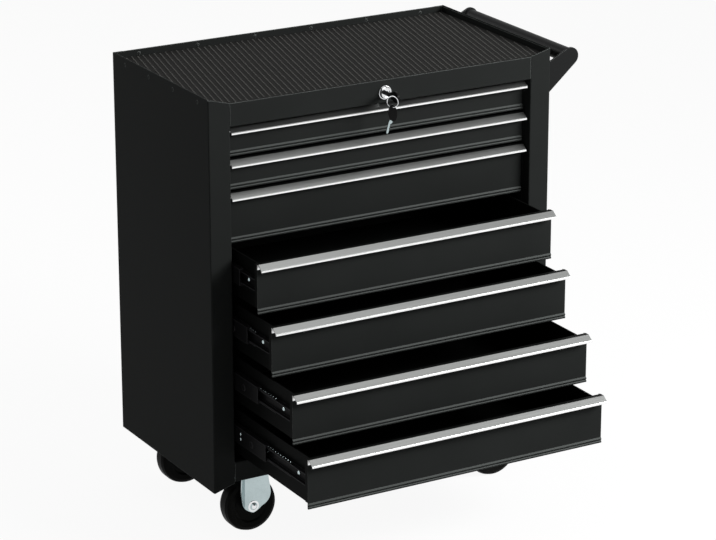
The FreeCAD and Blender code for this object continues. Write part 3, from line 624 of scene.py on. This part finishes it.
def make_rear_rivets():
    work = bmesh.new()
    for side in (-1.0, 1.0):
        for up in RIVETS_UP:
            spot = at(side * RIVETS_X, BODY_D, BASE_Z + up)
            dome(work, spot, Vector((0.0, 1.0, 0.0)), *RIVET_HEAD, 18)
    new_piece("rear_rivets", work, BODY, "cabinet")


make_spot_welds()
make_rear_rivets()


# Key ring with a spare key

RING_R = 9.0
RING_WIRE = 0.75
RING_TURN = math.radians(50.0)
RING_STEPS = 40
# The middle of the hole in the key's grip, and of the ring measured from there
HOLE = Vector((0.0, -38.0, LOCK_Z))
RING_FROM_HOLE = Vector((-7.6, 1.0, -5.6))
SPARE_TURN = math.radians(12.0)
SPARE_LEAN = math.radians(14.0)
SPARE_FROM_RING = Vector((2.0, 0.0, 2.6 - RING_R))
# The spare key in (across, down) millimetres
GRIP_MIDDLE = (1.4, 11.6)
GRIP_ACROSS = (7.0, 3.4)
GRIP_DOWN = 12.8
GRIP_STEPS = 28
GRIP_THICK = 3.0
BLADE = ((4.4, 23.0), (4.0, 27.0), (1.7, 29.0), (0.9, 30.2), (1.7, 31.6), (1.0, 33.2), (1.7, 34.8),
         (0.8, 36.6), (1.7, 38.4), (1.7, 42.4), (0.6, 44.8), (-0.8, 44.8), (-1.6, 42.4), (-1.6, 27.0),
         (-1.0, 23.0))
BLADE_THICK = 1.6


def make_key_ring(centre):
    """A wire ring through the key's grip."""
    across = Vector((math.cos(RING_TURN), -math.sin(RING_TURN), 0.0))
    points = []
    for i in range(RING_STEPS):
        angle = 2.0 * math.pi * i / RING_STEPS
        spot = centre + across * math.cos(angle) * RING_R + Vector((0.0, 0.0, math.sin(angle) * RING_R))
        points.append(at(*spot))
    ring = bmesh.new()
    tube_along(ring, points, RING_WIRE, 8, closed=True)
    new_piece("key_ring", ring, CHROME, "key")


def flat_outline(work, origin, across, down, outline, thick):
    """A flat plate from an outline in (across, down) millimetres."""
    normal = across.cross(down).normalized()
    sheets = []
    for side in (-0.5, 0.5):
        middle = origin + normal * thick * side
        sheets.append([work.verts.new(at(*(middle + across * u + down * v))) for u, v in outline])
    low, high = sheets
    work.faces.new(list(reversed(low)))
    work.faces.new(high)
    wall_between(work, low, high)


def make_spare_key(centre):
    """A second key that hangs from the ring, with a grip that widens to one side."""
    face = Vector((math.cos(SPARE_TURN), -math.sin(SPARE_TURN), 0.0))
    sunk = Vector((0.0, 0.0, -1.0))
    down = sunk * math.cos(SPARE_LEAN) - face * math.sin(SPARE_LEAN)
    across = face * math.cos(SPARE_LEAN) + sunk * math.sin(SPARE_LEAN)
    origin = centre + SPARE_FROM_RING
    outline = []
    for i in range(GRIP_STEPS):
        angle = 2.0 * math.pi * i / GRIP_STEPS
        u = GRIP_MIDDLE[0] + math.cos(angle) * GRIP_ACROSS[0] + math.sin(angle) * GRIP_ACROSS[1]
        outline.append((u, GRIP_MIDDLE[1] + math.sin(angle) * GRIP_DOWN))
    grip = bmesh.new()
    flat_outline(grip, origin, across, down, outline, GRIP_THICK)
    new_piece("spare_key_grip", grip, PLASTIC, "key")
    blade = bmesh.new()
    flat_outline(blade, origin, across, down, BLADE, BLADE_THICK)
    new_piece("spare_key_blade", blade, ZINC, "key")


make_key_ring(HOLE + RING_FROM_HOLE)
make_spare_key(HOLE + RING_FROM_HOLE)


# Camera, floor and light

YAW = math.radians(30.04)
PITCH = math.radians(18.97)
ROLL = math.radians(-0.03)
# The focal length in pixels of the photograph, and its width
FOCAL_PX = 3036.0
IMAGE_W = 716.0
SENSOR_W = 36.0
# The point that the camera looks at, and how far it stands from it, in metres
TARGET = at(259.7 - BODY_W / 2.0, 0.0, 326.8 + BASE_Z)
DISTANCE = 4.775


def place_camera():
    back = Vector((-math.sin(YAW) * math.cos(PITCH), -math.cos(YAW) * math.cos(PITCH), math.sin(PITCH)))
    right = (-back).cross(Vector((0.0, 0.0, 1.0))).normalized()
    up = right.cross(-back)
    turned_right = right * math.cos(ROLL) + up * math.sin(ROLL)
    turned_up = up * math.cos(ROLL) - right * math.sin(ROLL)
    data = bpy.data.cameras.new("camera")
    data.sensor_fit = "HORIZONTAL"
    data.sensor_width = SENSOR_W
    data.lens = FOCAL_PX * SENSOR_W / IMAGE_W
    data.clip_end = 50.0
    camera = bpy.data.objects.new("camera", data)
    bpy.context.scene.collection.objects.link(camera)
    matrix = Matrix((turned_right, turned_up, back)).transposed().to_4x4()
    matrix.translation = TARGET + back * DISTANCE
    camera.matrix_world = matrix
    bpy.context.scene.camera = camera


place_camera()


def seen_plainly(tree):
    """1 for rays from the camera and for those seen in metal or through glass."""
    path = add(tree, "ShaderNodeLightPath")
    total = path.outputs["Is Camera Ray"]
    for name in ("Is Glossy Ray", "Is Transmission Ray"):
        join = add(tree, "ShaderNodeMath", operation="MAXIMUM")
        tree.links.new(total, join.inputs[0])
        tree.links.new(path.outputs[name], join.inputs[1])
        total = join.outputs[0]
    return total


WHITE = (1.0, 1.0, 1.0, 1.0)
FLOOR_SIZE = 24.0
FLOOR_COLOR = (0.70, 0.70, 0.70, 1.0)
# The share of the floor that the camera sees as plain white; the rest takes the shadow
FLOOR_WHITE = 0.93
# The world's strength on the cabinet; seen plainly it is white
SOFT_LIGHT = 0.23


def make_floor():
    """A pale floor that keeps the cabinet's shadow, and is open when seen from below."""
    bpy.ops.mesh.primitive_plane_add(size=FLOOR_SIZE, location=(0, 0, 0))
    floor = bpy.context.object
    floor.name = "floor"
    mat, tree, shader = new_material("floor")
    shader.inputs["Base Color"].default_value = FLOOR_COLOR
    shader.inputs["Roughness"].default_value = 0.9
    shader.inputs["Specular IOR Level"].default_value = 0.1
    white = add(tree, "ShaderNodeEmission")
    white.inputs["Color"].default_value = WHITE
    white.inputs["Strength"].default_value = 1.0
    share = add(tree, "ShaderNodeMath", operation="MULTIPLY")
    share.inputs[1].default_value = FLOOR_WHITE
    tree.links.new(seen_plainly(tree), share.inputs[0])
    mixer = add(tree, "ShaderNodeMixShader")
    tree.links.new(share.outputs[0], mixer.inputs["Fac"])
    tree.links.new(shader.outputs[0], mixer.inputs[1])
    tree.links.new(white.outputs[0], mixer.inputs[2])
    surface = add(tree, "ShaderNodeNewGeometry")
    open_below = add(tree, "ShaderNodeBsdfTransparent")
    one_sided = add(tree, "ShaderNodeMixShader")
    tree.links.new(surface.outputs["Backfacing"], one_sided.inputs["Fac"])
    tree.links.new(mixer.outputs[0], one_sided.inputs[1])
    tree.links.new(open_below.outputs[0], one_sided.inputs[2])
    tree.links.new(one_sided.outputs[0], tree.nodes["Material Output"].inputs["Surface"])
    floor.data.materials.append(mat)


make_floor()


def make_world():
    world = bpy.data.worlds.new("world")
    bpy.context.scene.world = world
    world.use_nodes = True
    tree = world.node_tree
    soft = tree.nodes["Background"]
    soft.inputs["Color"].default_value = WHITE
    soft.inputs["Strength"].default_value = SOFT_LIGHT
    plain = add(tree, "ShaderNodeBackground")
    plain.inputs["Color"].default_value = WHITE
    plain.inputs["Strength"].default_value = 1.0
    mixer = add(tree, "ShaderNodeMixShader")
    tree.links.new(seen_plainly(tree), mixer.inputs["Fac"])
    tree.links.new(soft.outputs[0], mixer.inputs[1])
    tree.links.new(plain.outputs[0], mixer.inputs[2])
    tree.links.new(mixer.outputs[0], tree.nodes["World Output"].inputs["Surface"])


make_world()


# Each lamp's name, its place and aim in metres, its size in metres, and its power in watts
LAMPS = (("key", (1.35, -1.6, 1.6), (0.0, 0.0, 0.65), (1.5, 0.6), 98.0),
         ("front", (2.4, -3.0, 2.0), (0.0, 0.0, 0.4), (2.4, 1.6), 34.0),
         ("top", (0.2, 0.6, 3.4), (0.0, 0.0, 0.5), (3.0, 3.0), 34.0),
         ("rim", (-1.5, 3.1, 2.1), (0.0, 0.0, 0.5), (1.8, 1.2), 34.0))


def area_light(name, place, aim, size, power):
    data = bpy.data.lights.new(name, "AREA")
    data.shape = "RECTANGLE"
    data.size = size[0]
    data.size_y = size[1]
    data.energy = power
    lamp = bpy.data.objects.new(name, data)
    bpy.context.scene.collection.objects.link(lamp)
    lamp.location = place
    lamp.rotation_euler = (Vector(aim) - Vector(place)).to_track_quat("-Z", "Y").to_euler()


for lamp_values in LAMPS:
    area_light(*lamp_values)

bpy.context.scene.view_settings.view_transform = "Standard"
